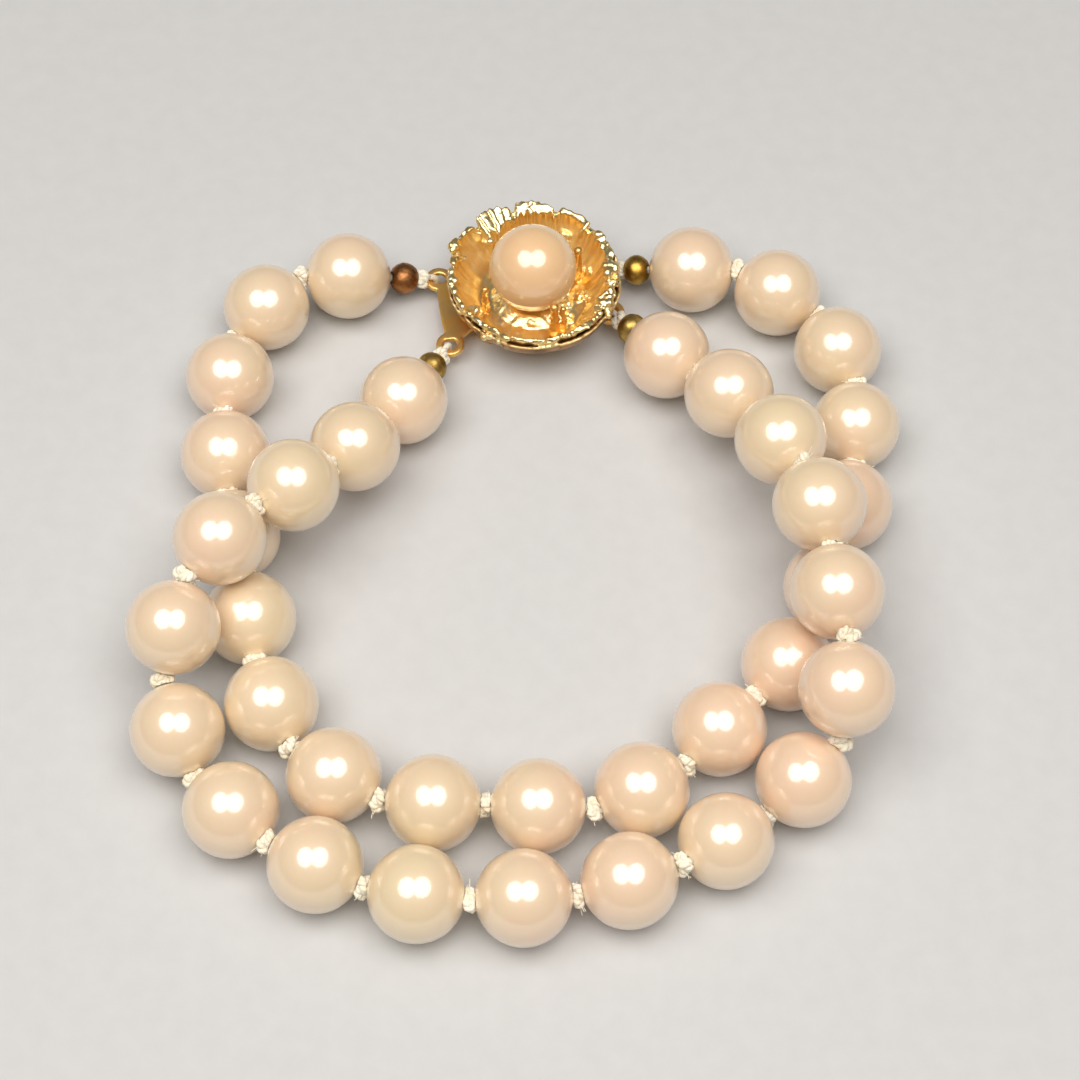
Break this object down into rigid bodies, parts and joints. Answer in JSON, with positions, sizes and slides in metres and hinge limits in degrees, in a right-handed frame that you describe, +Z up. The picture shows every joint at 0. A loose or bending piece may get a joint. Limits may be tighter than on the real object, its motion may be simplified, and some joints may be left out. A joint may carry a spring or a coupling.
{
  "type": "pearl bracelet",
  "caption": "Bracelet of round pearls on knotted silk, its strands joined by a gilt flower clasp with a pearl in its middle, lying closed as a loop that fits a wrist.",
  "frame": {"origin": "middle of the bracelet's bounding box at the surface that it lies on", "axes": "+Z up from the surface, +Y from the far side of the loop towards the clasp, +X to the right seen from above with the clasp at the back"},
  "size_m": [0.0666, 0.0728, 0.0154],
  "materials": {
    "pearl": "soft nacre lustre, ivory with a faint pink cast",
    "clasp_pearl": "soft nacre lustre, warmer and more apricot than the strands",
    "silk": "matt off-white silk",
    "end_bead_metal": "worn antique bronze",
    "clasp_gold": "bright gold plate"
  },
  "bodies": {
    "root": {"pearl_a_01": "pearl", "pearl_a_02": "pearl", "pearl_a_03": "pearl", "pearl_a_04": "pearl", "pearl_a_05": "pearl", "pearl_a_06": "pearl", "pearl_a_07": "pearl", "pearl_a_08": "pearl", "pearl_a_09": "pearl", "pearl_a_10": "pearl", "pearl_a_11": "pearl", "pearl_a_12": "pearl", "pearl_a_13": "pearl", "pearl_a_14": "pearl", "pearl_a_15": "pearl", "pearl_a_16": "pearl", "pearl_a_17": "pearl", "pearl_a_18": "pearl", "pearl_a_19": "pearl", "end_bead_a_left": "end_bead_metal", "end_bead_a_right": "end_bead_metal", "thread_a": "silk", "pearl_b_01": "pearl", "pearl_b_02": "pearl", "pearl_b_03": "pearl", "pearl_b_04": "pearl", "pearl_b_05": "pearl", "pearl_b_06": "pearl", "pearl_b_07": "pearl", "pearl_b_08": "pearl", "pearl_b_09": "pearl", "pearl_b_10": "pearl", "pearl_b_11": "pearl", "pearl_b_12": "pearl", "pearl_b_13": "pearl", "pearl_b_14": "pearl", "pearl_b_15": "pearl", "pearl_b_16": "pearl", "pearl_b_17": "pearl", "pearl_b_18": "pearl", "pearl_b_19": "pearl", "end_bead_b_left": "end_bead_metal", "end_bead_b_right": "end_bead_metal", "thread_b": "silk", "clasp_flower_box": "clasp_gold", "clasp_tongue": "clasp_gold", "clasp_pearl": "clasp_pearl"}
  },
  "joints": []
}
